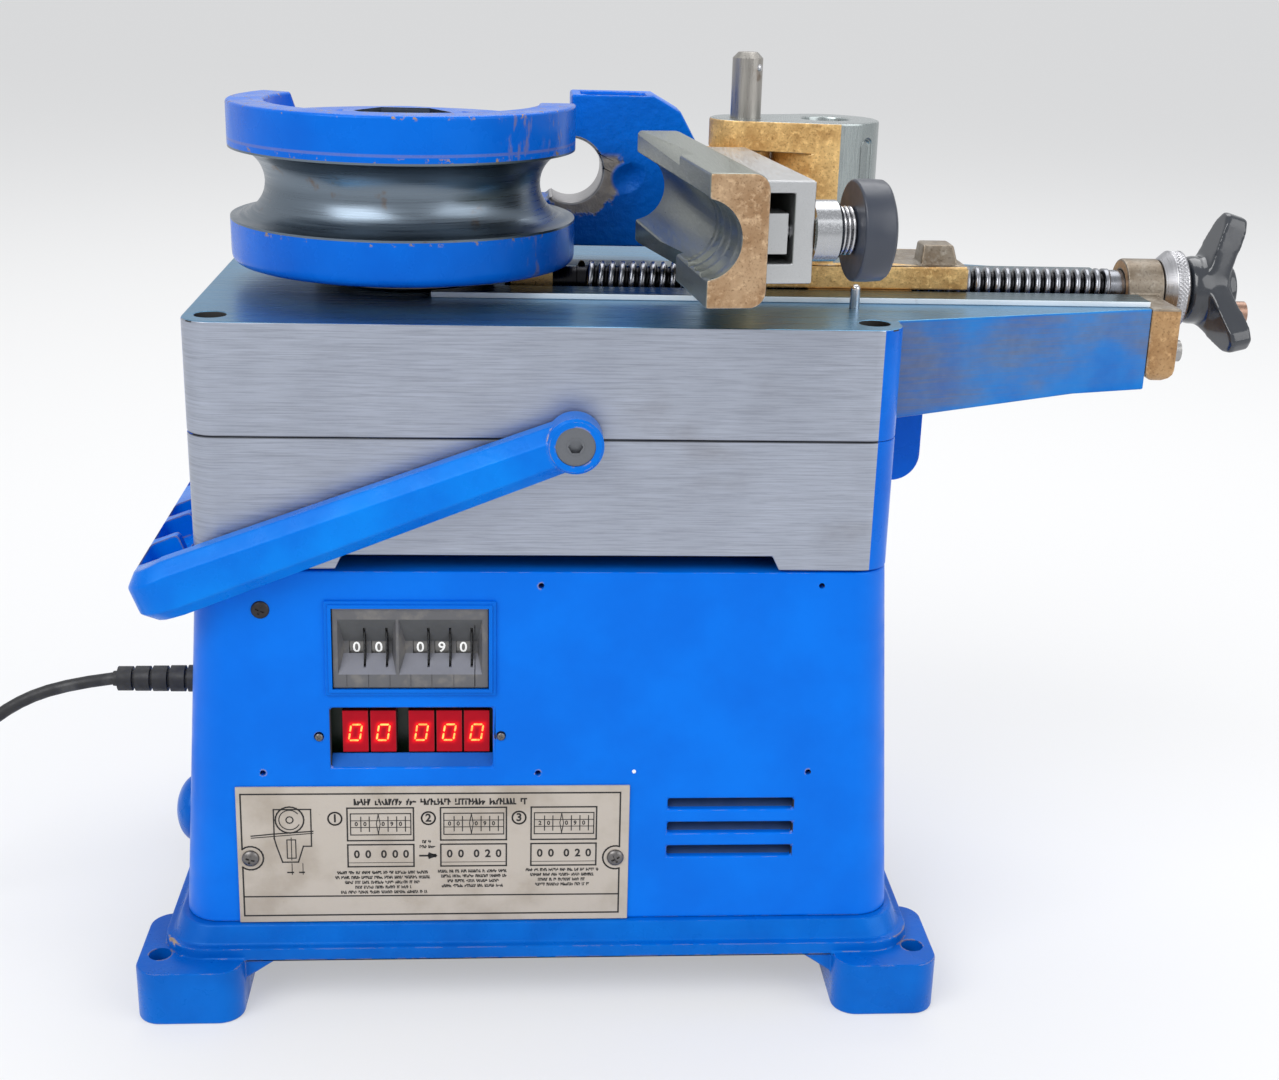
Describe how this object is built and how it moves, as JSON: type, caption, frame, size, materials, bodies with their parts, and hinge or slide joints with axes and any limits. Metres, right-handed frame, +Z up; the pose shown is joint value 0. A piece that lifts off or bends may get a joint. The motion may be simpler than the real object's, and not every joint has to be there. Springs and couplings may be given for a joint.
{
  "type": "rotary draw tube bender",
  "caption": "Motor-driven bench tube bender: a grooved former with a clamp hook turns the tube, and a screw-driven carriage presses a counter-die against it.",
  "frame": {"origin": "centre of the four foot bolts in the plane the feet stand on", "axes": "+X towards the hand knob at the end of the arm, +Y away from the control panel, +Z up"},
  "size_m": [0.6717, 0.2446, 0.347],
  "materials": {
    "blue_paint": "satin hammered blue enamel over cast iron",
    "cabinet_paint": "satin blue enamel",
    "machined_table": "milled aluminium with scratches",
    "steel": "ground steel",
    "dark_steel": "oiled dark steel",
    "hook_paint": "worn blue enamel over rough cast steel",
    "gold_casting": "rough cast, gold-coloured passivation",
    "die_steel": "grey-green bare steel",
    "bronze": "turned bronze",
    "black_plastic": "moulded black plastic",
    "fasteners": "zinc-plated steel",
    "wheel_plastic": "dark grey plastic",
    "red_filter": "red display plastic",
    "circuit_board": "green circuit board",
    "motor_paint": "dark grey enamel",
    "printed_sheet": "printed aluminium sheet",
    "cord_black": "black flexible rubber and plastic"
  },
  "bodies": {
    "frame": {"base_casting": "blue_paint", "cabinet_shell": "cabinet_paint", "socket_cap": "blue_paint", "gearbox_casting": "blue_paint", "table_casting": "machined_table", "table_bolts": "fasteners", "cabinet_bolts": "fasteners", "front_rail": "steel", "rear_rail": "steel", "stop_pin": "steel", "upper_bush": "bronze", "lower_bush": "bronze", "gear_motor": "motor_paint", "end_bracket": "gold_casting", "bracket_bolts": "fasteners", "handle_screws": "steel", "angle_bezel": "black_plastic", "wheel_axle": "steel", "display_digits": "red_filter", "display_board": "circuit_board", "control_board": "circuit_board", "instruction_plate": "printed_sheet", "plate_screws": "fasteners", "front_screws": "fasteners", "cord_grip": "cord_black", "cord_lead": "cord_black", "cord_coil": "cord_black", "cord_tail": "cord_black", "cord_plug": "cord_black", "screw_rest": "bronze"},
    "spindle_head": {"spindle": "steel", "thrust_collar": "steel", "spindle_gear": "steel", "spindle_nut": "steel", "bending_former": "dark_steel", "clamp_hook": "hook_paint", "hook_screws": "fasteners"},
    "pinion": {"motor_pinion": "steel"},
    "carriage_slide": {"carriage": "gold_casting", "carriage_nut": "bronze"},
    "screw": {"lead_screw": "steel", "lock_collar": "steel", "tri_knob": "black_plastic", "knob_screw": "fasteners", "screw_nose": "steel"},
    "pin": {"pivot_pin": "steel", "pin_ball": "steel"},
    "holder": {"die_holder": "gold_casting", "plunger_sleeve": "steel"},
    "die": {"counter_die": "die_steel", "die_key": "die_steel"},
    "plunger": {"plunger_pin": "steel", "plunger_spring": "steel", "plunger_knob": "black_plastic"},
    "handle": {"carry_handle": "blue_paint"},
    "wheel_1": {"angle_wheel_1": "wheel_plastic"},
    "wheel_2": {"angle_wheel_2": "wheel_plastic"},
    "wheel_3": {"angle_wheel_3": "wheel_plastic"},
    "wheel_4": {"angle_wheel_4": "wheel_plastic"},
    "wheel_5": {"angle_wheel_5": "wheel_plastic"}
  },
  "joints": [
    {"name": "spindle_turn", "type": "hinge", "parent": "frame", "child": "spindle_head", "pos_m": [-0.0536, 0, 0.25], "axis": [0, 0, 1], "range_deg": [0, 190]},
    {"name": "pinion_turn", "type": "hinge", "parent": "frame", "child": "pinion", "pos_m": [0.0126, 0, 0.19], "axis": [0, 0, 1], "range_deg": [-510, 0]},
    {"name": "carriage_travel", "type": "slide", "parent": "frame", "child": "carriage_slide", "axis": [1, 0, 0], "range_m": [-0.021, 0.055]},
    {"name": "screw_turn", "type": "hinge", "parent": "frame", "child": "screw", "pos_m": [0.25, 0, 0.2594], "axis": [1, 0, 0], "continuous": true},
    {"name": "pin_lift", "type": "slide", "parent": "carriage_slide", "child": "pin", "axis": [0, 0, 1], "range_m": [0, 0.055]},
    {"name": "holder_swing", "type": "hinge", "parent": "carriage_slide", "child": "holder", "pos_m": [0.0756, -0.002, 0.29], "axis": [0, 0, 1], "range_deg": [-8, 20]},
    {"name": "die_slide", "type": "slide", "parent": "holder", "child": "die", "axis": [0.1132, -0.9936, 0], "range_m": [0, 0.06]},
    {"name": "plunger_pull", "type": "slide", "parent": "holder", "child": "plunger", "axis": [0.9936, 0.1132, 0], "range_m": [0, 0.006], "stiffness_N_per_m": 900, "springref_m": -0.004},
    {"name": "handle_lift", "type": "hinge", "parent": "frame", "child": "handle", "pos_m": [0.0099, 0, 0.2201], "axis": [0, 1, 0], "range_deg": [0, 30]},
    {"name": "wheel_1_turn", "type": "hinge", "parent": "frame", "child": "wheel_1", "pos_m": [-0.0676, -0.0729, 0.1403], "axis": [1, 0, 0], "continuous": true},
    {"name": "wheel_2_turn", "type": "hinge", "parent": "frame", "child": "wheel_2", "pos_m": [-0.0596, -0.0729, 0.1403], "axis": [1, 0, 0], "continuous": true},
    {"name": "wheel_3_turn", "type": "hinge", "parent": "frame", "child": "wheel_3", "pos_m": [-0.0446, -0.0729, 0.1403], "axis": [1, 0, 0], "continuous": true},
    {"name": "wheel_4_turn", "type": "hinge", "parent": "frame", "child": "wheel_4", "pos_m": [-0.0368, -0.0729, 0.1403], "axis": [1, 0, 0], "continuous": true},
    {"name": "wheel_5_turn", "type": "hinge", "parent": "frame", "child": "wheel_5", "pos_m": [-0.029, -0.0729, 0.1403], "axis": [1, 0, 0], "continuous": true}
  ],
  "couplings": [
    {"joint": "pinion_turn", "follows": "spindle_turn", "ratio": -2.6667},
    {"joint": "screw_turn", "follows": "carriage_travel", "rad_per_m": 1570.8}
  ]
}
